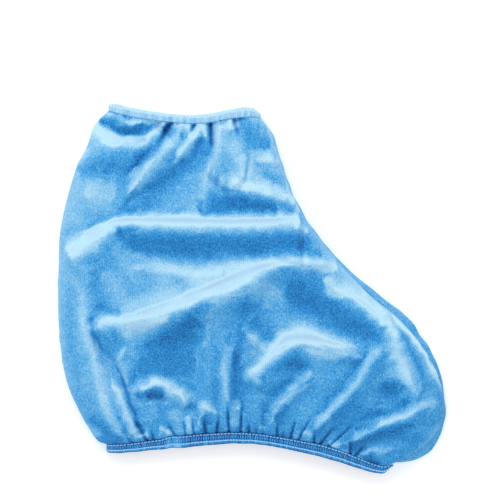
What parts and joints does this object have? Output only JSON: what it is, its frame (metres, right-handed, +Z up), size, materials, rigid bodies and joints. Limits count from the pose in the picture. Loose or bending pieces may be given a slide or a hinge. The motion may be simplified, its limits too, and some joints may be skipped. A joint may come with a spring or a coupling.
{
  "type": "skate boot cover",
  "caption": "Soft velour cover for a skate boot, lying on its side, with an elastic band round the leg opening and another round the sole opening.",
  "frame": {"origin": "on the surface that the cover lies on, under the middle of its box", "axes": "+Z up from the surface, +X from the heel to the toe, +Y from the sole opening to the leg opening"},
  "size_m": [0.2973, 0.2839, 0.0324],
  "materials": {
    "near_velour": "azure stretch velour with a soft pile",
    "far_velour": "azure stretch velour with a soft pile",
    "ankle_elastic": "azure velour gathered over narrow elastic",
    "sole_elastic": "azure velour hem over elastic with two lines of pale stitches"
  },
  "bodies": {
    "root": {"near_panel": "near_velour", "far_panel": "far_velour", "ankle_band": "ankle_elastic", "sole_band": "sole_elastic"}
  },
  "joints": []
}
